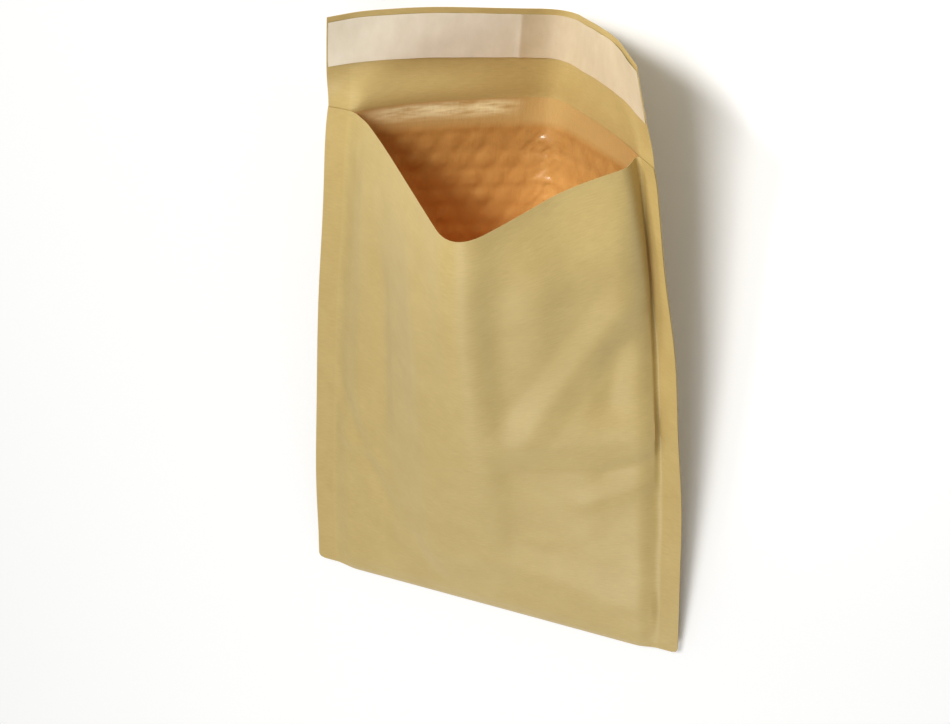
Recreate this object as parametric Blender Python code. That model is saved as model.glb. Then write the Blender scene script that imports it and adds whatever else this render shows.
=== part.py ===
"""Padded envelope, opened and lying on its back.

One kraft sheet is folded at the bottom and sealed down both sides over a folded
bubble lining. Its closing flap carries an adhesive band under a release liner.
Metres, Z up: the bottom fold lies along X, and the flap points along +Y.
"""
import bisect
import math

import bmesh
import bpy
import numpy as np

# Flat sizes of the sheet
WIDTH = 0.200               # across both sealed sides
HEIGHT = 0.275              # bottom fold to mouth
FLAP = 0.050                # closing flap beyond the mouth
SEAL = 0.010                # sealed strip down each side

# Thicknesses, and the gap kept between pieces
PAPER = 0.0002
FILM = 0.0002               # both films of the lining where it is pressed flat
PADDING = 0.0033            # lining with its bubbles
TOP_BAND = 0.014            # pressed edge of the lining at the mouth
GAP = 0.0003

# Strips on the flap, measured back from its free edge
LINER_INSET = 0.003
LINER_WIDTH = 0.025
LINER_THICK = 0.0002
GLUE_INSET = 0.0055
GLUE_WIDTH = 0.020
GLUE_THICK = 0.0002
STRIP_END = 0.001           # strips stop this short of the flap's sides

# Shape of the opened mouth, seen along the height: X across, Y towards the back
LEFT_SEAM = (0.0270, 0.0010)
RIGHT_SEAM = (0.1805, -0.0035)
FRONT_FOLD = (0.1130, -0.0585)
BACK_FOLD = (0.1105, 0.0630)
FLAP_LEFT = (0.0380, -0.0120)
FLAP_RIGHT = (0.1745, -0.0115)
FLAP_FOLD = (0.1210, 0.0555)

# Where the folds run on the flat sheet, from the left side
FRONT_FOOT = 0.103
FRONT_TOP = 0.110
BACK_FOOT = 0.115
BACK_TOP = 0.103
FLAP_TOP = 0.107

# Bends
LEFT_TRAVEL = 1.35          # power of the left seam's way in from the bottom to the mouth
RIGHT_TRAVEL = 2.30         # the right seam bows out, then comes in late
FRONT_BOW = 0.28            # the front fold bows out below the mouth
FRONT_SAG = 0.0150          # loss of height at each fold, from the curve of the panels
BACK_SAG = 0.0040
FLAP_SAG = 0.0090
FRONT_REACH = 0.0125        # a fold bends over this reach to each side
BACK_REACH = 0.0125
FLAP_REACH = 0.0160
LEFT_REACH = 0.0080         # bends of the front panel where it leaves the seals
RIGHT_REACH = 0.0020
BACK_LEAVE = 0.0040         # bends of the back panel where it leaves the seals
MOUTH_REACH = 0.0120        # bend of the back panel at the mouth line
LEFT_SHARE = 0.52           # 0 puts a seal in line with the back panel, 1 with the front
RIGHT_SHARE = 0.05
PILLOW = 0.012              # the padding rises to full height over this distance
MOUTH_PADDING = 0.3         # share of the padding that lifts the paper at the mouth and flap
LEVEL_BELOW = 0.025         # the padding levels out from here below the mouth
LEVEL_OVER = 0.035
SEAL_FADE = 0.020           # the seals' own slant is gone this far into the flap
FOLD_ROUND = 0.005

# Where the sheets are cut into facets: (start, number of equal steps to the next start)
COLUMN_STOPS = ((0.0, 2), (0.010, 4), (0.028, 3), (0.080, 8), (0.140, 3), (0.174, 4), (0.190, 2))
BODY_STOPS = ((0.0, 2), (0.004, 3), (0.020, 7), (0.255, 4))
FLAP_STOPS = ((HEIGHT, 4), (HEIGHT + 0.020, 2))


def corner(x, reach):
    """Distance past a corner, eased over the reach to each side of it."""
    eased = (x + reach) ** 2 / (4 * reach)
    return np.where(x <= -reach, 0.0, np.where(x >= reach, x, eased))


def smooth(x):
    """0 to 1 with level ends."""
    x = np.clip(x, 0.0, 1.0)
    return x * x * (3 - 2 * x)


def point(x, y):
    return np.stack([x, y], -1)


def unit(vectors):
    return vectors / np.linalg.norm(vectors, axis=-1, keepdims=True)


def between(start, end, share):
    return start + (end - start) * share


def section(v, front):
    """Plan of the opened envelope at height v: both seams, the fold between, and the fold's place."""
    t = np.minimum(v / HEIGHT, 1.0)
    sealed = 1 - smooth((v - HEIGHT) / SEAL_FADE)[..., None]
    past = corner(v - HEIGHT, MOUTH_REACH) / FLAP
    left = point(LEFT_SEAM[0] * t ** LEFT_TRAVEL + (FLAP_LEFT[0] - LEFT_SEAM[0]) * past,
                 LEFT_SEAM[1] * t ** 2 + (FLAP_LEFT[1] - LEFT_SEAM[1]) * past)
    right = point(WIDTH - (WIDTH - RIGHT_SEAM[0]) * t ** RIGHT_TRAVEL
                  + (FLAP_RIGHT[0] - RIGHT_SEAM[0]) * past,
                  RIGHT_SEAM[1] * t ** 2 + (FLAP_RIGHT[1] - RIGHT_SEAM[1]) * past)
    front_fold = point(between(FRONT_FOOT, FRONT_FOLD[0], t),
                       FRONT_FOLD[1] * t * (1 + FRONT_BOW * (1 - t)))
    back_fold = point(between(BACK_FOOT, BACK_FOLD[0], t) + (FLAP_FOLD[0] - BACK_FOLD[0]) * past,
                      BACK_FOLD[1] * t + (FLAP_FOLD[1] - BACK_FOLD[1]) * past)
    left_way = unit(between(unit(back_fold - left), unit(front_fold - left), LEFT_SHARE * sealed))
    right_way = unit(between(unit(right - back_fold), unit(right - front_fold), RIGHT_SHARE * sealed))
    if front:
        place = between(FRONT_FOOT, FRONT_TOP, t)
        return left, right, left_way, right_way, front_fold, place
    place = between(BACK_FOOT, BACK_TOP, t) + (FLAP_TOP - BACK_TOP) * past
    return left, right, left_way, right_way, back_fold, place


def panel(u, v, front):
    """Folded place of a point of the front or back panel, u across and v up the flat sheet."""
    left, right, left_way, right_way, fold, place = section(v, front)
    past = np.clip(corner(v - HEIGHT, MOUTH_REACH) / FLAP, 0, 1)
    t = np.minimum(v / HEIGHT, 1.0)
    if front:
        reach, leave_left, leave_right = FRONT_REACH, LEFT_REACH, RIGHT_REACH
        sag = FRONT_SAG * t
    else:
        reach = between(BACK_REACH, FLAP_REACH, past)
        leave_left = leave_right = BACK_LEAVE
        sag = between(BACK_SAG * t, FLAP_SAG, past)
    bend_left = SEAL + leave_left
    bend_right = WIDTH - SEAL - leave_right
    start = left + left_way * bend_left
    end = right - right_way * (WIDTH - bend_right)
    first = (fold - start) / (place - bend_left)[..., None]
    second = (end - fold) / (bend_right - place)[..., None]
    plan = (left + left_way * u[..., None]
            + (first - left_way) * corner(u - bend_left, leave_left)[..., None]
            + (second - first) * corner(u - place, reach)[..., None]
            + (right_way - second) * corner(u - bend_right, leave_right)[..., None])
    rise = np.where(u < place, (u - SEAL) / (place - SEAL), (WIDTH - SEAL - u) / (WIDTH - SEAL - place))
    travel = (plan[..., 0] - u) ** 2 + plan[..., 1] ** 2
    height = np.sqrt(np.maximum(v * v - travel, 0)) - sag * smooth(rise)
    return np.stack([plan[..., 0], plan[..., 1], height], -1)


def outward(u, v, front):
    """Unit direction out of the panel, turning down to -Z round the bottom fold."""
    step = 0.0005
    across = panel(u + step, v, front) - panel(u - step, v, front)
    up = panel(u, v + step, front) - panel(u, np.maximum(v - step, 0), front)
    normal = unit(np.cross(across, up)) * (1 if front else -1)
    share = smooth(v / FOLD_ROUND)[..., None]
    return unit(normal * share + np.array([0.0, 0.0, -1.0]) * (1 - share))


def padding_share(u, v):
    """How much of the padding stands between the seals: 0 at a seal, 1 away from it."""
    side = smooth((np.minimum(u, WIDTH - u) - SEAL) / PILLOW)
    body = side * (0.6 + 0.4 * smooth(v / PILLOW))
    return between(body, MOUTH_PADDING, smooth((v - HEIGHT + LEVEL_BELOW) / LEVEL_OVER))


def film_inside(u, v):
    """Lift of the lining's pocket side: it goes out to the paper along the pressed top band."""
    pressed = 1 - smooth((HEIGHT - v) / TOP_BAND)
    return GAP / 2 + (PADDING - FILM) * padding_share(u, v) * pressed


def film_outside(u, v):
    return GAP / 2 + FILM + (PADDING - FILM) * padding_share(u, v)


def paper_inside(u, v):
    return film_outside(u, v) + GAP


def paper_outside(u, v):
    return paper_inside(u, v) + PAPER


def stops(spans, end):
    """Positions from spans of (start, count), each span cut into equal steps."""
    ends = [start for start, count in spans[1:]] + [end]
    places = []
    for (start, count), finish in zip(spans, ends):
        places += [start + (finish - start) * k / count for k in range(count)]
    return places + [end]


def flat_blank(columns, rows):
    """Flat sheet cut at the given columns across X and rows along Y."""
    mesh = bmesh.new()
    bmesh.ops.create_grid(mesh, x_segments=len(columns) - 1, y_segments=len(rows) - 1, size=0.5)
    for vertex in mesh.verts:
        column = round((vertex.co.x + 0.5) * (len(columns) - 1))
        row = round((vertex.co.y + 0.5) * (len(rows) - 1))
        vertex.co = (columns[column], rows[row], 0)
    return mesh


def thicken(mesh):
    """Second skin at flat Z = 1 over the first one at Z = 0, with the rim between them."""
    new = bmesh.ops.extrude_face_region(mesh, geom=mesh.faces[:], use_keep_orig=True)
    skin = [item for item in new["geom"] if isinstance(item, bmesh.types.BMVert)]
    bmesh.ops.translate(mesh, verts=skin, vec=(0, 0, 1))
    bmesh.ops.recalc_face_normals(mesh, faces=mesh.faces[:])


def standing(flat, inside, outside):
    """Folded places of flat points (u, s, layer); s is negative down the front panel."""
    places = np.empty_like(flat)
    for front in (False, True):
        chosen = flat[:, 1] < 0 if front else flat[:, 1] >= 0
        u, v, layer = flat[chosen, 0], np.abs(flat[chosen, 1]), flat[chosen, 2]
        lift = between(inside(u, v), outside(u, v), layer)
        places[chosen] = panel(u, v, front) + outward(u, v, front) * lift[:, None]
    return places


def lay_down(places):
    """Turn the standing envelope on its back, so that its back fold lies along the floor."""
    end = standing(np.array([[BACK_TOP, HEIGHT, 1.0]]), paper_inside, paper_outside)[0]
    foot = standing(np.array([[BACK_FOOT, FOLD_ROUND, 1.0]]), paper_inside, paper_outside)[0]
    lean = math.atan2(end[1] - foot[1], end[2] - foot[2])
    along = places[:, 2] * math.cos(lean) + places[:, 1] * math.sin(lean)
    above = places[:, 2] * math.sin(lean) - places[:, 1] * math.cos(lean)
    return np.stack([places[:, 0], along, above], -1)


def fold(mesh, inside, outside):
    """Fold the blank. Its Z becomes the way out of the pocket, which mirrors it, so faces are reversed."""
    flat = np.array([vertex.co[:] for vertex in mesh.verts])
    for vertex, place in zip(mesh.verts, lay_down(standing(flat, inside, outside))):
        vertex.co = place
    bmesh.ops.reverse_faces(mesh, faces=mesh.faces[:])


def material(name, colour, roughness):
    made = bpy.data.materials.new(name)
    made.use_nodes = True
    shader = made.node_tree.nodes["Principled BSDF"]
    shader.inputs["Base Color"].default_value = (*colour, 1)
    shader.inputs["Roughness"].default_value = roughness
    shader.inputs["Metallic"].default_value = 0.0
    return made


def add_piece(collection, name, columns, rows, inside, outside, finish):
    """One sheet piece: a thick flat blank, folded into place."""
    mesh = flat_blank(columns, rows)
    thicken(mesh)
    fold(mesh, inside, outside)
    data = bpy.data.meshes.new(name)
    mesh.to_mesh(data)
    mesh.free()
    data.materials.append(finish)
    piece = bpy.data.objects.new(name, data)
    collection.objects.link(piece)
    return piece


def clip(places, low, high):
    """Stops from low to high, both included."""
    return [low] + places[bisect.bisect_right(places, low):bisect.bisect_left(places, high)] + [high]


def settle(pieces):
    """Centre the envelope on the origin, lowest point at Z = 0."""
    corners = np.array([vertex.co[:] for piece in pieces for vertex in piece.data.vertices])
    low, high = corners.min(axis=0), corners.max(axis=0)
    shift = -np.array([(low[0] + high[0]) / 2, (low[1] + high[1]) / 2, low[2]])
    for piece in pieces:
        for vertex in piece.data.vertices:
            vertex.co = np.array(vertex.co[:]) + shift


def kraft_cover(collection, columns, body):
    flap = stops(FLAP_STOPS, HEIGHT + FLAP)
    rows = [-v for v in reversed(body)] + body[1:] + flap[1:]
    return add_piece(collection, "kraft_cover", columns, rows, paper_inside, paper_outside,
                     material("kraft_paper", (0.46, 0.32, 0.13), 0.70))


def bubble_lining(collection, columns, body):
    rows = [-v for v in reversed(body)] + body[1:]
    return add_piece(collection, "bubble_lining", columns, rows, film_inside, film_outside,
                     material("bubble_film", (0.46, 0.26, 0.09), 0.25))


def flap_strip(collection, name, columns, inset, width, clearance, thick, finish):
    """Band across the flap's inner side, held clear of the paper by the clearance."""
    top = HEIGHT + FLAP - inset
    rows = [top - width, top - width / 2, top]

    def near(u, v):
        return paper_inside(u, v) - clearance

    def far(u, v):
        return paper_inside(u, v) - clearance - thick

    return add_piece(collection, name, clip(columns, STRIP_END, WIDTH - STRIP_END), rows,
                     far, near, finish)


def main():
    for thing in list(bpy.data.objects):
        bpy.data.objects.remove(thing, do_unlink=True)
    collection = bpy.data.collections.new("padded_envelope")
    bpy.context.scene.collection.children.link(collection)
    columns = stops(COLUMN_STOPS, WIDTH)
    body = stops(BODY_STOPS, HEIGHT)
    pieces = [
        kraft_cover(collection, columns, body),
        bubble_lining(collection, columns, body),
        flap_strip(collection, "adhesive_strip", columns, GLUE_INSET, GLUE_WIDTH, GAP, GLUE_THICK,
                   material("hot_melt_adhesive", (0.68, 0.57, 0.34), 0.30)),
        flap_strip(collection, "release_liner", columns, LINER_INSET, LINER_WIDTH,
                   GAP + GLUE_THICK + GAP, LINER_THICK,
                   material("release_paper", (0.66, 0.59, 0.46), 0.45)),
    ]
    settle(pieces)


main()
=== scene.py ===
"""Looks of the padded envelope, opened and lying on its back.

Metres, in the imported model's frame: X across, Y towards the closing flap, Z up.
"""
import math

import bmesh
import bpy
import numpy as np
from mathutils import Matrix, Vector


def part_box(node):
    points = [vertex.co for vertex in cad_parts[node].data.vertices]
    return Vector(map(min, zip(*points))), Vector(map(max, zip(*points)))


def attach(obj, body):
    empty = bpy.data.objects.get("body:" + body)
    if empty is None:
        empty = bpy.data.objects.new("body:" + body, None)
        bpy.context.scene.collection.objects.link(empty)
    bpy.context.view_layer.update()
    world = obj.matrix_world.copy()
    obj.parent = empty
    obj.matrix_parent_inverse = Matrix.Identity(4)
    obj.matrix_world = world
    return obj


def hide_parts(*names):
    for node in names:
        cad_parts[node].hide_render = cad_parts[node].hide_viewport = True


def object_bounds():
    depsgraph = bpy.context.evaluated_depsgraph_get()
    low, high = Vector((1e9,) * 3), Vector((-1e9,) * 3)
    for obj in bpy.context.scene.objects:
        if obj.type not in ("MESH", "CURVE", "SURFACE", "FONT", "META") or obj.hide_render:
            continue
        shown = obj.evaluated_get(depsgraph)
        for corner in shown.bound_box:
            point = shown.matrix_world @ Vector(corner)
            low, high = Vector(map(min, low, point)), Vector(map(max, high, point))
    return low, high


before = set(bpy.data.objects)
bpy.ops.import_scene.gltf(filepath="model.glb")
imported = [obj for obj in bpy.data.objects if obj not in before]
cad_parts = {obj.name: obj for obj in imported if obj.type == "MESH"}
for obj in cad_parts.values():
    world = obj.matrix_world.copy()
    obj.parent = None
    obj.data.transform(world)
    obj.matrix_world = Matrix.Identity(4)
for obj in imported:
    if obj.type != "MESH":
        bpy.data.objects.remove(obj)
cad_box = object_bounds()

# ---------------------------------------------------------------- kraft cover
# One sheet of unbleached kraft, folded up at the bottom and sealed down both
# sides, then pressed open by hand: each panel has bent along one soft fold.

WIDTH = 0.200
HEIGHT = 0.275
FLAP = 0.050
SEAL = 0.010
PAPER = 0.00016
FILM = 0.0001
PADDING = 0.0033
TOP_BAND = 0.014
CORNER = 0.003
CLEAR = 0.00004             # between the paper and what is stuck to it

# Plan of the opened envelope, (across, out of the seams' plane): at the mouth, then at the flap's edge
LEFT_SEAM = (0.0270, 0.0010)
RIGHT_SEAM = (0.1805, -0.0035)
FRONT_FOLD = (0.1130, -0.0585)
BACK_FOLD = (0.1105, 0.0630)
FLAP_LEFT = (0.0380, -0.0120)
FLAP_RIGHT = (0.1745, -0.0115)
FLAP_FOLD = (0.1210, 0.0555)

# Place of each panel's soft fold on the flat sheet, at the bottom and at the mouth
FRONT_FOOT = 0.103
FRONT_TOP = 0.110
BACK_FOOT = 0.115
BACK_TOP = 0.103
FLAP_TOP = 0.107

# How fast the seams close in, how far the halves sag, and how softly each bend turns
LEFT_TRAVEL = 1.35
RIGHT_TRAVEL = 2.30
FRONT_BOW = 0.28
FRONT_SAG = 0.0150
BACK_SAG = 0.0040
FLAP_SAG = 0.0090
FRONT_REACH = 0.0125
BACK_REACH = 0.0125
FLAP_REACH = 0.0160
LEFT_REACH = 0.0080
RIGHT_REACH = 0.0020
BACK_LEAVE = 0.0040
MOUTH_REACH = 0.0120
LEFT_SHARE = 0.52
RIGHT_SHARE = 0.05
PILLOW = 0.012
FOOT_PADDING = 0.6
MOUTH_PADDING = 0.3
LEVEL_BELOW = 0.025
LEVEL_OVER = 0.035
SEAL_FADE = 0.020
FOLD_ROUND = 0.005
REST_GAP = 0.0008           # keeps the dents and humps of the back panel off the floor

# Stretches beside the seals where every layer bends hard: start, end and fine step
LEFT_FINE = (0.007, 0.016, 0.0009)
RIGHT_FINE = (WIDTH - 0.018, WIDTH - 0.007, 0.0008)


def corner(x, reach):
    """Distance past a corner, eased over the reach to each side of it."""
    eased = (x + reach) ** 2 / (4 * reach)
    return np.where(x <= -reach, 0.0, np.where(x >= reach, x, eased))


def smooth(x):
    """0 to 1 with level ends."""
    x = np.clip(x, 0.0, 1.0)
    return x * x * (3 - 2 * x)


def point(x, y):
    return np.stack([x, y], -1)


def unit(vectors):
    return vectors / np.linalg.norm(vectors, axis=-1, keepdims=True)


def between(start, end, share):
    return start + (end - start) * share


def section(v, front):
    """Plan at height v: both seams, the ways they set off, the fold between, and the fold's place."""
    t = np.minimum(v / HEIGHT, 1.0)
    sealed = 1 - smooth((v - HEIGHT) / SEAL_FADE)[..., None]
    past = corner(v - HEIGHT, MOUTH_REACH) / FLAP
    left = point(LEFT_SEAM[0] * t ** LEFT_TRAVEL + (FLAP_LEFT[0] - LEFT_SEAM[0]) * past,
                 LEFT_SEAM[1] * t ** 2 + (FLAP_LEFT[1] - LEFT_SEAM[1]) * past)
    right = point(WIDTH - (WIDTH - RIGHT_SEAM[0]) * t ** RIGHT_TRAVEL
                  + (FLAP_RIGHT[0] - RIGHT_SEAM[0]) * past,
                  RIGHT_SEAM[1] * t ** 2 + (FLAP_RIGHT[1] - RIGHT_SEAM[1]) * past)
    front_fold = point(between(FRONT_FOOT, FRONT_FOLD[0], t),
                       FRONT_FOLD[1] * t * (1 + FRONT_BOW * (1 - t)))
    back_fold = point(between(BACK_FOOT, BACK_FOLD[0], t) + (FLAP_FOLD[0] - BACK_FOLD[0]) * past,
                      BACK_FOLD[1] * t + (FLAP_FOLD[1] - BACK_FOLD[1]) * past)
    left_way = unit(between(unit(back_fold - left), unit(front_fold - left), LEFT_SHARE * sealed))
    right_way = unit(between(unit(right - back_fold), unit(right - front_fold), RIGHT_SHARE * sealed))
    if front:
        place = between(FRONT_FOOT, FRONT_TOP, t)
        return left, right, left_way, right_way, front_fold, place
    place = between(BACK_FOOT, BACK_TOP, t) + (FLAP_TOP - BACK_TOP) * past
    return left, right, left_way, right_way, back_fold, place


def panel(u, v, front):
    """Folded place of a point of the front or back panel, u across and v up the flat sheet."""
    left, right, left_way, right_way, fold, place = section(v, front)
    past = np.clip(corner(v - HEIGHT, MOUTH_REACH) / FLAP, 0, 1)
    t = np.minimum(v / HEIGHT, 1.0)
    if front:
        reach, leave_left, leave_right = FRONT_REACH, LEFT_REACH, RIGHT_REACH
        sag = FRONT_SAG * t
    else:
        reach = between(BACK_REACH, FLAP_REACH, past)
        leave_left = leave_right = BACK_LEAVE
        sag = between(BACK_SAG * t, FLAP_SAG, past)
    bend_left = SEAL + leave_left
    bend_right = WIDTH - SEAL - leave_right
    start = left + left_way * bend_left
    end = right - right_way * (WIDTH - bend_right)
    first = (fold - start) / (place - bend_left)[..., None]
    second = (end - fold) / (bend_right - place)[..., None]
    plan = (left + left_way * u[..., None]
            + (first - left_way) * corner(u - bend_left, leave_left)[..., None]
            + (second - first) * corner(u - place, reach)[..., None]
            + (right_way - second) * corner(u - bend_right, leave_right)[..., None])
    rise = np.where(u < place, (u - SEAL) / (place - SEAL),
                    (WIDTH - SEAL - u) / (WIDTH - SEAL - place))
    travel = (plan[..., 0] - u) ** 2 + plan[..., 1] ** 2
    height = np.sqrt(np.maximum(v * v - travel, 0)) - sag * smooth(rise)
    return np.stack([plan[..., 0], plan[..., 1], height], -1)


def outward(u, v, front):
    """Unit direction out of the panel, turning down to -Z round the bottom fold."""
    step = 0.0005
    across = panel(u + step, v, front) - panel(u - step, v, front)
    up = panel(u, v + step, front) - panel(u, np.maximum(v - step, 0), front)
    normal = unit(np.cross(across, up)) * (1 if front else -1)
    share = smooth(v / FOLD_ROUND)[..., None]
    return unit(normal * share + np.array([0.0, 0.0, -1.0]) * (1 - share))


def padding_share(u, s):
    """Share of the padding that stands: none at a seal, where the front follows the back."""
    v = np.abs(s)
    side = smooth((np.minimum(u, WIDTH - u) - SEAL) / PILLOW)
    body = side * (FOOT_PADDING + (1 - FOOT_PADDING) * smooth(v / PILLOW))
    mouth = MOUTH_PADDING * np.where(s < 0, 2 * side - 1, 1.0)
    return between(body, mouth, smooth((v - HEIGHT + LEVEL_BELOW) / LEVEL_OVER))


def ripple(x, y, size_x, size_y, seed, waves=9):
    """Soft repeatable unevenness of about -1 to 1, with humps of the given sizes."""
    draw = np.random.default_rng(seed)
    total = np.zeros_like(x)
    for _ in range(waves):
        turn = draw.uniform(0, math.pi)
        pace = draw.uniform(0.55, 1.25)
        way = x / size_x * math.cos(turn) + y / size_y * math.sin(turn)
        total += np.cos(2 * math.pi * pace * way + draw.uniform(0, 2 * math.pi))
    return total / math.sqrt(waves)


# Handling folds of the front panel: (u, v) of each end, height (negative for a dent), half width
CREASES = (
    ((0.122, 0.139), (0.198, 0.134), 0.0032, 0.022),
    ((0.126, 0.141), (0.176, 0.216), 0.0024, 0.014),
    ((0.166, 0.150), (0.172, 0.190), -0.0018, 0.010),
    ((0.186, 0.122), (0.160, 0.112), -0.0012, 0.007),
    ((0.188, 0.108), (0.150, 0.094), 0.0012, 0.010),
    ((0.046, 0.215), (0.047, 0.120), -0.0018, 0.008),
    ((0.030, 0.250), (0.029, 0.110), 0.0018, 0.012),
    ((0.016, 0.122), (0.046, 0.060), -0.0018, 0.009),
    ((0.014, 0.092), (0.044, 0.088), 0.0012, 0.008),
    ((0.060, 0.050), (0.076, 0.014), -0.0009, 0.008),
    ((0.106, 0.048), (0.200, 0.018), 0.0018, 0.020),
)

# Profile across the front fold: the paper lies flatter before it, then turns down steeply
RIDGE = ((-0.056, -0.030, 0.000, 0.014, 0.050), (0.0, 0.0050, 0.0, -0.0034, 0.0))
BULGE = 0.0042              # the front panel bulges out beside the right seal, over the groove
CURL = 0.0060               # its right half stands proud a little below the mouth
FOLD_LINE = 0.0006          # depth of the crisp line in the back panel's soft fold


def creases(u, v):
    height = np.zeros_like(u)
    for start, end, high, wide in CREASES:
        run = np.array(end) - np.array(start)
        length = np.hypot(*run)
        along = ((u - start[0]) * run[0] + (v - start[1]) * run[1]) / length ** 2
        inside = smooth(along * 3 + 0.6) * smooth((1 - along) * 3 + 0.6)
        aside = ((u - start[0]) * run[1] - (v - start[1]) * run[0]) / length
        height += high * inside * np.maximum(1 - np.sqrt((aside / wide) ** 2 + 0.03), 0) ** 1.2
    return height


def front_shape(u, v):
    """Broad shape of the front panel beyond its two flat halves."""
    place = between(FRONT_FOOT, FRONT_TOP, v / HEIGHT)
    ridge = sum(np.interp(u - place + shift, *RIDGE) for shift in (-0.003, 0.0, 0.003)) / 3
    ridge *= smooth((HEIGHT - v) / 0.07) * smooth(v / 0.05)
    beside = WIDTH - SEAL - u
    reach = between(0.0040, 0.0105, smooth((v - 0.17) / 0.09))
    bulge = BULGE * smooth(beside / reach) * (1 - smooth((beside - reach) / 0.030))
    bulge *= smooth((v - 0.090) / 0.060) * between(0.6, 1.1, smooth((v - 0.150) / 0.09))
    curl = CURL * smooth((HEIGHT - v) / 0.040) * smooth((v - 0.170) / 0.065)
    curl *= smooth((u - 0.118) / 0.025) * smooth(beside / 0.02)
    return ridge + bulge + curl


def back_shape(u, v):
    """Crisp line along the back panel's fold, fading out in the flap."""
    place = between(BACK_FOOT, BACK_TOP, v / HEIGHT)
    line = np.maximum(1 - np.sqrt(((u - place) / 0.008) ** 2 + 0.01), 0)
    return FOLD_LINE * line * smooth(v / 0.08) * smooth((HEIGHT + 0.030 - v) / 0.020)


def relief(u, s):
    """Unevenness of the whole sheet: buckles, puckers, and a slow sway of the seals."""
    v = np.abs(s)
    free = smooth((np.minimum(u, WIDTH - u) - SEAL) / 0.02)
    ends = smooth(v / 0.03) * (0.25 + 0.75 * smooth((HEIGHT - v) / 0.03))
    front = np.where(s < 0, 1.0, 0.6)
    broad = 0.0005 * ripple(u, s, 0.075, 0.110, 3)
    tall = 0.00020 * ripple(u, s, 0.026, 0.160, 5)
    dimples = 0.00003 * ripple(u, s, 0.016, 0.012, 8, 14)
    beside = np.minimum(u, WIDTH - u) - SEAL
    puckers = 0.0003 * ripple(u, s, 0.040, 0.020, 13)
    puckers *= np.exp(-np.abs(beside) / 0.012) * smooth(beside / 0.006)
    sway = 0.0006 * ripple(u, v, 0.30, 0.060, 21) * np.where(s < 0, -1, 1)
    sway *= (1 - free) * smooth(v / 0.02)
    folded = np.where(s < 0, creases(u, v) * smooth(beside / 0.004), 0.0)
    shaped = np.where(s < 0, front_shape(u, v), back_shape(u, v))
    return (broad + tall + dimples) * free * ends * front + (puckers + folded) * ends + sway + shaped


def film_outside(u, s):
    """Lift of the flat film's outer face off the pocket's middle surface."""
    return FILM + (PADDING - FILM) * padding_share(u, s)


def paper_inside(u, s):
    """Lift of the paper's inner face."""
    return film_outside(u, s) + CLEAR


def stand(u, s, lift):
    """Folded places of flat points; s is negative down the front panel, lift goes out of the pocket."""
    places = np.empty(u.shape + (3,))
    for front in (False, True):
        chosen = s < 0 if front else s >= 0
        across, up = u[chosen], np.abs(s[chosen])
        out = outward(across, up, front) * lift[chosen][:, None]
        places[chosen] = panel(across, up, front) + out
    return places


def lay_down(places):
    """Turn the standing envelope on its back, so that its back fold lies along the floor."""
    ends = stand(np.array([BACK_TOP, BACK_FOOT]), np.array([HEIGHT, FOLD_ROUND]), np.zeros(2))
    rise = ends[0] - ends[1]
    lean = math.atan2(rise[1], rise[2])
    along = places[..., 2] * math.cos(lean) + places[..., 1] * math.sin(lean)
    above = places[..., 2] * math.sin(lean) - places[..., 1] * math.cos(lean)
    return np.stack([places[..., 0], along, above], -1)


def frame_shift():
    """Way from the folded sheet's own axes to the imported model's, from the two covers' boxes."""
    u, s = np.meshgrid(np.linspace(0, WIDTH, 80), np.linspace(-HEIGHT, HEIGHT + FLAP, 200))
    own = lay_down(stand(u, s, paper_inside(u, s) + PAPER)).reshape(-1, 3)
    low, high = (np.array(side[:]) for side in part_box("kraft_cover"))
    shift = (low + high) / 2 - (own.min(axis=0) + own.max(axis=0)) / 2
    shift[2] = low[2] - own[:, 2].min() + REST_GAP
    return shift


SHIFT = frame_shift()


def rounded_corner(u, v):
    """Bottom corners of the seals, trimmed round."""
    drop = np.maximum(CORNER - v, 0)
    trim = CORNER - np.sqrt(CORNER ** 2 - drop ** 2)
    left = np.clip(1 - u / (3 * CORNER), 0, 1)
    right = np.clip(1 - (WIDTH - u) / (3 * CORNER), 0, 1)
    return u + trim * (left - right)


def cut_sheet(name, across, along, lift):
    """Flat grid cut at the given stops, folded into place, with its flat shape as UV map."""
    blank = bmesh.new()
    bmesh.ops.create_grid(blank, x_segments=len(across) - 1, y_segments=len(along) - 1,
                          size=0.5, calc_uvs=True)
    mesh = bpy.data.meshes.new(name)
    blank.to_mesh(mesh)
    blank.free()
    flat = np.empty(len(mesh.vertices) * 3)
    mesh.vertices.foreach_get("co", flat)
    flat = flat.reshape(-1, 3) + 0.5
    s = along[np.rint(flat[:, 1] * (len(along) - 1)).astype(int)]
    u = rounded_corner(across[np.rint(flat[:, 0] * (len(across) - 1)).astype(int)], np.abs(s))
    places = lay_down(stand(u, s, lift(u, s) + relief(u, s))) + SHIFT
    mesh.vertices.foreach_set("co", places.ravel())
    corners = np.empty(len(mesh.loops), dtype=int)
    mesh.loops.foreach_get("vertex_index", corners)
    unwrapped = point(u / WIDTH, (s + HEIGHT) / (2 * HEIGHT + FLAP))[corners]
    layer = mesh.uv_layers.active or mesh.uv_layers.new(name="flat")
    layer.name = "flat"
    layer.data.foreach_set("uv", unwrapped.ravel())
    mesh.flip_normals()
    mesh.update()
    piece = bpy.data.objects.new(name, mesh)
    bpy.context.collection.objects.link(piece)
    return piece


def apply(piece):
    """Apply the piece's modifiers."""
    graph = bpy.context.evaluated_depsgraph_get()
    done = bpy.data.meshes.new_from_object(piece.evaluated_get(graph))
    piece.modifiers.clear()
    piece.data = done


def give_thickness(piece, thickness):
    """Thickness inwards from the sheet as folded, with crisp cut edges."""
    solid = piece.modifiers.new("thickness", "SOLIDIFY")
    solid.thickness = thickness
    solid.offset = 1.0
    apply(piece)
    piece.data.shade_smooth()
    piece.data.set_sharp_from_angle(angle=math.radians(50))


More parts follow.
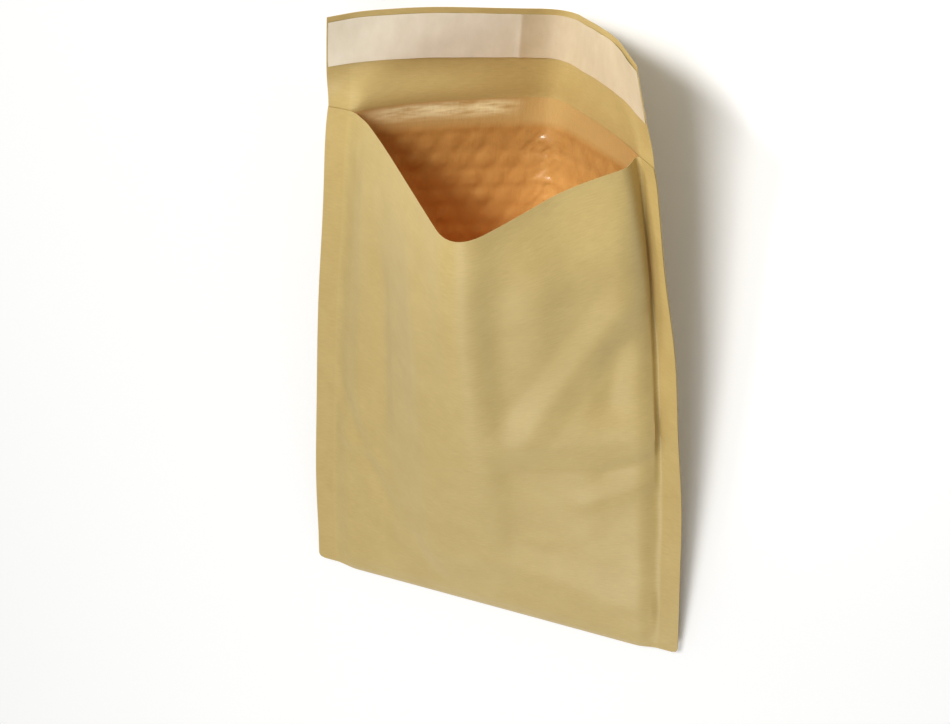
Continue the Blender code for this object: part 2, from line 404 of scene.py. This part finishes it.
def steps(start, end, size):
    """Even stops from start to end, about size apart."""
    return np.linspace(start, end, max(2, round((end - start) / size) + 1))


def columns(size, inset=0.0):
    """Stops across the sheet; every layer shares the fine ones beside the seals."""
    left, right = steps(*LEFT_FINE), steps(*RIGHT_FINE)
    return np.concatenate([steps(inset, left[0], size)[:-1], left,
                           steps(left[-1], right[0], size)[1:-1], right,
                           steps(right[-1], WIDTH - inset, size)[1:]])


def new_material(name):
    """New material, its node tree and its Principled shader."""
    made = bpy.data.materials.new(name)
    made.use_nodes = True
    return made, made.node_tree, made.node_tree.nodes["Principled BSDF"]


def stretched(tree, vector, x, y):
    """Coordinates scaled by x and y."""
    scale = tree.nodes.new("ShaderNodeVectorMath")
    scale.operation = "MULTIPLY"
    scale.inputs[1].default_value = (x, y, 1)
    tree.links.new(vector, scale.inputs[0])
    return scale.outputs["Vector"]


def flat_millimetres(tree):
    """The sheet's own flat coordinates in millimetres."""
    source = tree.nodes.new("ShaderNodeUVMap")
    source.uv_map = "flat"
    return stretched(tree, source.outputs["UV"], WIDTH * 1000, (2 * HEIGHT + FLAP) * 1000)


def speckle(tree, vector, scale, detail=3.0, rough=0.55):
    """Noise pattern; a larger scale makes it finer."""
    made = tree.nodes.new("ShaderNodeTexNoise")
    made.inputs["Scale"].default_value = scale
    made.inputs["Detail"].default_value = detail
    made.inputs["Roughness"].default_value = rough
    tree.links.new(vector, made.inputs["Vector"])
    return made.outputs["Fac"]


def ramp(tree, value, stops):
    """Colour ramp through (position, colour) stops."""
    made = tree.nodes.new("ShaderNodeValToRGB")
    band = made.color_ramp
    while len(band.elements) < len(stops):
        band.elements.new(0.5)
    for element, (place, colour) in zip(band.elements, stops):
        element.position = place
        element.color = (*colour, 1)
    tree.links.new(value, made.inputs["Fac"])
    return made.outputs["Color"]


def blend(tree, share, first, second, mode="MIX"):
    """Mix of two colours; share is a number or a socket."""
    made = tree.nodes.new("ShaderNodeMix")
    made.data_type = "RGBA"
    made.blend_type = mode
    if isinstance(share, float):
        made.inputs["Factor"].default_value = share
    else:
        tree.links.new(share, made.inputs["Factor"])
    for socket, colour in ((made.inputs[6], first), (made.inputs[7], second)):
        if isinstance(colour, tuple):
            socket.default_value = (*colour, 1)
        else:
            tree.links.new(colour, socket)
    return made.outputs[2]


def bump(tree, height, distance, strength, under=None):
    """Fine surface relief, laid over another one where it is given."""
    made = tree.nodes.new("ShaderNodeBump")
    made.inputs["Distance"].default_value = distance
    made.inputs["Strength"].default_value = strength
    tree.links.new(height, made.inputs["Height"])
    if under is not None:
        tree.links.new(under, made.inputs["Normal"])
    return made.outputs["Normal"]


def worked_out(tree, operation, first, second=None):
    """Math node on one or two values, each a number or a socket."""
    made = tree.nodes.new("ShaderNodeMath")
    made.operation = operation
    for socket, value in zip(made.inputs, (first, second)):
        if isinstance(value, float):
            socket.default_value = value
        elif value is not None:
            tree.links.new(value, socket)
    return made.outputs["Value"]


def one_way(tree, flat, axis):
    """One of the flat coordinates, by its letter."""
    split = tree.nodes.new("ShaderNodeSeparateXYZ")
    tree.links.new(flat, split.inputs["Vector"])
    return split.outputs[axis]


def beyond(tree, value, place, soft):
    """0 before the place and 1 beyond it, blended over soft to each side."""
    share = tree.nodes.new("ShaderNodeMapRange")
    share.inputs["From Min"].default_value = place - soft
    share.inputs["From Max"].default_value = place + soft
    tree.links.new(value, share.inputs["Value"])
    return share.outputs["Result"]


def seal_share(tree, flat):
    """1 on the side seals, where the paper is pressed hard onto the films, 0 between them."""
    off_middle = worked_out(tree, "SUBTRACT", one_way(tree, flat, "X"), WIDTH / 2 * 1000)
    away = worked_out(tree, "ABSOLUTE", off_middle)
    return beyond(tree, away, (WIDTH / 2 - SEAL) * 1000, 0.3)


def kraft_paper():
    """Unbleached kraft: long fibre streaks, cloudy formation, dark flecks and a little sheen."""
    made, tree, shader = new_material("kraft_paper")
    flat = flat_millimetres(tree)
    clouds = speckle(tree, flat, 0.055, 4.0, 0.6)
    fibres = speckle(tree, stretched(tree, flat, 0.20, 1.5), 1.0, 4.0, 0.65)
    flecks = speckle(tree, stretched(tree, flat, 0.45, 1.0), 2.4, 2.0)
    colour = ramp(tree, clouds, ((0.30, (0.500, 0.365, 0.132)), (0.70, (0.540, 0.403, 0.154))))
    streaks = ramp(tree, fibres, ((0.32, (0.86, 0.84, 0.80)), (0.68, (1.06, 1.06, 1.06))))
    colour = blend(tree, 0.55, colour, streaks, "MULTIPLY")
    dark = ramp(tree, flecks, ((0.24, (0.70, 0.64, 0.56)), (0.34, (1.0, 1.0, 1.0))))
    colour = blend(tree, 0.6, colour, dark, "MULTIPLY")
    colour = blend(tree, seal_share(tree, flat), colour, (0.98, 0.96, 0.93), "MULTIPLY")
    tree.links.new(colour, shader.inputs["Base Color"])
    shine = tree.nodes.new("ShaderNodeMapRange")
    shine.inputs["To Min"].default_value = 0.40
    shine.inputs["To Max"].default_value = 0.58
    tree.links.new(fibres, shine.inputs["Value"])
    tree.links.new(shine.outputs["Result"], shader.inputs["Roughness"])
    shader.inputs["Specular IOR Level"].default_value = 0.5
    crinkle = speckle(tree, stretched(tree, flat, 0.6, 1.3), 0.13, 4.0, 0.5)
    normal = bump(tree, crinkle, 0.0006, 0.10)
    normal = bump(tree, fibres, 0.00005, 0.4, normal)
    tree.links.new(normal, shader.inputs["Normal"])
    return made


def kraft_cover():
    rows = np.concatenate([steps(-HEIGHT, -0.012, 0.0020)[:-1], steps(-0.012, 0.012, 0.0008),
                           steps(0.012, HEIGHT + FLAP, 0.0020)[1:]])
    piece = cut_sheet("kraft_sheet", columns(0.0020), rows, lambda u, s: paper_inside(u, s) + PAPER)
    give_thickness(piece, -PAPER)
    piece.data.materials.append(kraft_paper())
    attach(piece, "root")
    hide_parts("kraft_cover")


kraft_cover()

# ------------------------------------------------------------- bubble lining
# Two polyethylene films: a flat one stuck to the paper, and one formed into
# rows of air bubbles that face the pocket. Sealed flat round every edge.

BUBBLE_PITCH = 0.0108
BUBBLE_WIDTH = 0.0094
BUBBLE_RISE = 0.24          # share of the room in the lining that a bubble takes up
CRUMPLE = 0.09              # the same for the crumpling along the back fold
SLACK = 0.00028             # the films hang this far off the paper
EDGE_IN = 0.0006            # the films stop just short of the paper's mouth edges


def bubbles(u, s):
    """Height of the formed bubbles, 0 to 1: flat-topped domes in staggered rows."""
    row_gap = BUBBLE_PITCH * math.sqrt(3) / 2
    best = np.full(u.shape, 1.0)
    row = np.rint(s / row_gap)
    for step in (-1, 0, 1):
        near = row + step
        offset = np.where(np.mod(near, 2) == 0, 0.0, BUBBLE_PITCH / 2)
        column = np.rint((u - offset) / BUBBLE_PITCH)
        away = np.hypot(u - offset - column * BUBBLE_PITCH, s - near * row_gap)
        best = np.minimum(best, away / (BUBBLE_WIDTH / 2))
    return smooth((1 - best) * 1.7)


def free_of_seals(u, v):
    """Share left to the bubbles: 0 where a seal or the mouth band presses the films flat."""
    side = smooth((np.minimum(u, WIDTH - u) - SEAL - 0.001) / 0.010)
    return side * smooth((HEIGHT - TOP_BAND - v) / 0.003) * (0.5 + 0.5 * smooth(v / PILLOW))


def flat_film_lift(u, s):
    """The flat film hangs a little off the paper between the seals and the mouth."""
    beside = np.minimum(u, WIDTH - u) - SEAL
    hang = smooth(beside / 0.008) * smooth((HEIGHT - np.abs(s)) / 0.012)
    return film_outside(u, s) - SLACK * hang


def formed_film_lift(u, s):
    """The blown film: slack bubbles, some half flattened, and crumpled along the back fold."""
    v = np.abs(s)
    room = flat_film_lift(u, s) - FILM
    tight = 0.8 + 0.3 * ripple(u, s, 0.020, 0.018, 31)
    blown = BUBBLE_RISE * np.clip(bubbles(u, s) * tight, 0, 1.2)
    place = between(BACK_FOOT, BACK_TOP, v / HEIGHT)
    crumple = np.exp(-((u - place) / 0.008) ** 2) + 0.25
    blown += CRUMPLE * ripple(u, s, 0.0042, 0.0042, 33, 14) * crumple
    blown = np.clip(blown, -0.1, 0.7)
    return room + 0.3 * FILM - (room - 0.0001) * blown * free_of_seals(u, v)


def short_of(tree, value, place, soft):
    """1 before the place and 0 beyond it."""
    return worked_out(tree, "SUBTRACT", 1.0, beyond(tree, value, place, soft))


def painted_band_highlight(tree, flat):
    """Painted highlight: a pale streak on the mouth band that the heat bar pressed flat, on the left
    half of the back panel, standing in for the light's gloss on the film.
    """
    mouth = 2 * HEIGHT * 1000
    up, over = one_way(tree, flat, "Y"), one_way(tree, flat, "X")
    broken = speckle(tree, stretched(tree, flat, 0.07, 0.35), 1.0, 3.0)
    band_highlight = beyond(tree, broken, 0.42, 0.16)
    for edge in (beyond(tree, up, mouth - 8.5, 2.5), short_of(tree, up, mouth - 2.0, 1.2),
                 beyond(tree, over, 24.0, 9.0), short_of(tree, over, 84.0, 8.0)):
        band_highlight = worked_out(tree, "MULTIPLY", band_highlight, edge)
    return band_highlight


def bubble_film():
    """Clear film over kraft: glossy, kraft-tinted, with fine drag lines, painted bounce light deep in
    the pocket and a painted highlight streak on the mouth band.
    """
    made, tree, shader = new_material("bubble_film")
    flat = flat_millimetres(tree)
    drag = speckle(tree, stretched(tree, flat, 0.5, 0.10), 1.0, 3.0)
    bloom = speckle(tree, flat, 0.10, 3.0)
    up = one_way(tree, flat, "Y")
    blown = ramp(tree, bloom, ((0.30, (0.420, 0.208, 0.052)), (0.70, (0.490, 0.258, 0.074))))
    # Painted light: deeper in the pocket the film's colour turns brighter and redder, standing in for
    # warm light bounced between the kraft walls.
    deep = short_of(tree, up, (2 * HEIGHT - 0.055) * 1000, 32.0)
    blown = blend(tree, deep, blown, (0.950, 0.500, 0.140))
    band_edge = beyond(tree, up, (2 * HEIGHT - TOP_BAND) * 1000, 2.0)
    colour = blend(tree, band_edge, blown, (0.530, 0.345, 0.125))
    # Painted highlight: a pale yellow streak laid over the mouth band.
    colour = blend(tree, painted_band_highlight(tree, flat), colour, (0.90, 0.80, 0.46))
    tree.links.new(colour, shader.inputs["Base Color"])
    shader.inputs["Roughness"].default_value = 0.34
    shader.inputs["Coat Weight"].default_value = 0.8
    shader.inputs["Coat Roughness"].default_value = 0.10
    tree.links.new(bump(tree, drag, 0.0006, 0.35), shader.inputs["Normal"])
    return made


def film_piece(name, across, along, lift, finish):
    """One film of the lining, padded because air fills the bubbles."""
    piece = cut_sheet(name, across, along, lift)
    piece.data.shade_smooth()
    piece.data.materials.append(finish)
    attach(piece, "root")
    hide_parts("bubble_lining")


def bubble_lining():
    finish = bubble_film()
    end = HEIGHT - EDGE_IN
    fine = steps(0.110, end, 0.0013)
    deep = steps(0, 0.110, 0.0024)[1:-1]
    formed_rows = np.concatenate([-fine[::-1], -deep[::-1], [0.0], deep, fine])
    film_piece("bubble_film_formed", columns(0.0013, EDGE_IN), formed_rows, formed_film_lift,
               finish)
    film_piece("bubble_film_backing", columns(0.0030, EDGE_IN), steps(-end, end, 0.0028),
               flat_film_lift, finish)


bubble_lining()

# ------------------------------------------------------------ adhesive strip
# A band of hot-melt glue laid across the flap while it is soft. It stays tacky
# and is hidden under the liner until the envelope is closed.

GLUE_INSET = 0.0055
GLUE_WIDTH = 0.020
GLUE = 0.00010
STRIP_END = 0.0006


def band(name, inset, width, lift, thickness, finish, node, slot):
    """Band across the flap's inner side."""
    top = HEIGHT + FLAP - inset
    piece = cut_sheet(name, columns(0.0016, STRIP_END), steps(top - width, top, 0.0016), lift)
    give_thickness(piece, -thickness)
    piece.data.materials.append(finish)
    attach(piece, "root")
    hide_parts(node)


def hot_melt():
    made, tree, shader = new_material("hot_melt_adhesive")
    flow = speckle(tree, stretched(tree, flat_millimetres(tree), 0.06, 0.8), 1.0, 3.0)
    colour = ramp(tree, flow, ((0.3, (0.62, 0.50, 0.28)), (0.7, (0.74, 0.63, 0.40))))
    tree.links.new(colour, shader.inputs["Base Color"])
    shader.inputs["Roughness"].default_value = 0.22
    tree.links.new(bump(tree, flow, 0.0003, 0.4), shader.inputs["Normal"])
    return made


def glue_lift(u, s):
    return paper_inside(u, s) - CLEAR


band("adhesive_band", GLUE_INSET, GLUE_WIDTH, glue_lift, GLUE, hot_melt(),
     "adhesive_strip", "hot_melt_adhesive")

# ------------------------------------------------------------- release liner
# Off-white silicone-coated paper that peels off the adhesive. It lies flat on
# the flap, with one faint crease where the roll was joined.

LINER_INSET = 0.003
LINER_WIDTH = 0.025
LINER = 0.00008
LINER_CREASE = 0.086


def liner_lift(u, s):
    """The liner lies on the glue, a little loose along its edges, with a low ridge at the join."""
    top = HEIGHT + FLAP - LINER_INSET
    edge = np.minimum(s - (top - LINER_WIDTH), top - s)
    loose = 0.00012 * (1 + ripple(u, s, 0.022, 0.050, 44)) * smooth(1 - edge / 0.006)
    ridge = 0.00025 * np.exp(-((u - LINER_CREASE) / 0.0009) ** 2)
    return glue_lift(u, s) - GLUE - CLEAR - loose - ridge


def release_paper():
    """Smooth coated paper: faint cloudiness, a warmer half past the join, soft sheen."""
    made, tree, shader = new_material("release_paper")
    flat = flat_millimetres(tree)
    cloud = speckle(tree, stretched(tree, flat, 1.0, 0.5), 0.12, 4.0, 0.6)
    fresh = ramp(tree, cloud, ((0.30, (0.74, 0.66, 0.50)), (0.70, (0.82, 0.74, 0.59))))
    warm = ramp(tree, cloud, ((0.30, (0.61, 0.50, 0.325)), (0.70, (0.67, 0.56, 0.385))))
    past_join = beyond(tree, one_way(tree, flat, "X"), LINER_CREASE * 1000, 0.6)
    colour = blend(tree, past_join, fresh, warm)
    tree.links.new(colour, shader.inputs["Base Color"])
    shader.inputs["Roughness"].default_value = 0.42
    shader.inputs["Specular IOR Level"].default_value = 0.45
    grain = speckle(tree, flat, 1.4, 3.0)
    tree.links.new(bump(tree, grain, 0.00004, 0.4), shader.inputs["Normal"])
    return made


band("release_strip", LINER_INSET, LINER_WIDTH, liner_lift, LINER, release_paper(),
     "release_liner", "release_paper")

# -------------------------------------------------------------------- studio
# Pale floor, large soft lights, and a camera above the flap's right side.


FLOOR_SIZE = 6.0


def floor():
    bpy.ops.mesh.primitive_plane_add(size=FLOOR_SIZE, location=(0, 0, cad_box[0][2]))
    ground = bpy.context.object
    ground.name = "floor"
    made, _, shader = new_material("pale_floor")
    shader.inputs["Base Color"].default_value = (0.95, 0.95, 0.94, 1)
    shader.inputs["Roughness"].default_value = 0.9
    ground.data.materials.append(made)


def hang_light(name, data, place, aim):
    """Light at a place, turned to its aim and kept out of the camera's sight."""
    lamp = bpy.data.objects.new(name, data)
    lamp.location = place
    lamp.rotation_euler = (Vector(aim) - Vector(place)).to_track_quat("-Z", "Y").to_euler()
    lamp.visible_camera = False
    bpy.context.collection.objects.link(lamp)


def soft_light(name, place, size, power):
    """Square area light aimed at the envelope's middle."""
    data = bpy.data.lights.new(name, "AREA")
    data.size = size
    data.energy = power
    hang_light(name, data, place, (0, 0, 0.05))


def spot_light(name, place, aim, degrees, power):
    """Narrow soft-edged light."""
    data = bpy.data.lights.new(name, "SPOT")
    data.energy = power
    data.spot_size = math.radians(degrees)
    data.spot_blend = 1.0
    data.shadow_soft_size = 0.06
    hang_light(name, data, place, aim)


def world_light(strength):
    world = bpy.data.worlds.new("studio")
    bpy.context.scene.world = world
    world.use_nodes = True
    back = world.node_tree.nodes["Background"]
    back.inputs["Color"].default_value = (1.0, 1.0, 1.0, 1)
    back.inputs["Strength"].default_value = strength


def camera(place, target, up, lens):
    """Camera at a place, looking at the target with the given way up."""
    data = bpy.data.cameras.new("camera")
    data.lens = lens
    eye = bpy.data.objects.new("camera", data)
    back = (Vector(place) - Vector(target)).normalized()
    right = Vector(up).cross(back).normalized()
    turn = Matrix((right, back.cross(right), back)).transposed()
    eye.matrix_world = Matrix.Translation(place) @ turn.to_4x4()
    bpy.context.collection.objects.link(eye)
    bpy.context.scene.camera = eye


floor()
soft_light("key", (-0.14, 0.50, 1.22), 0.45, 10)
soft_light("front", (0.10, -0.95, 0.90), 0.50, 5.5)
spot_light("mouth", (-0.20, 0.42, 0.50), (0.036, 0.138, 0.04), 27, 9)
world_light(0.36)
bpy.context.scene.view_settings.view_transform = "Standard"
camera((0.285, 0.345, 0.774), (0.0, -0.004, 0.050), (-0.170, 0.949, -0.265), 70)
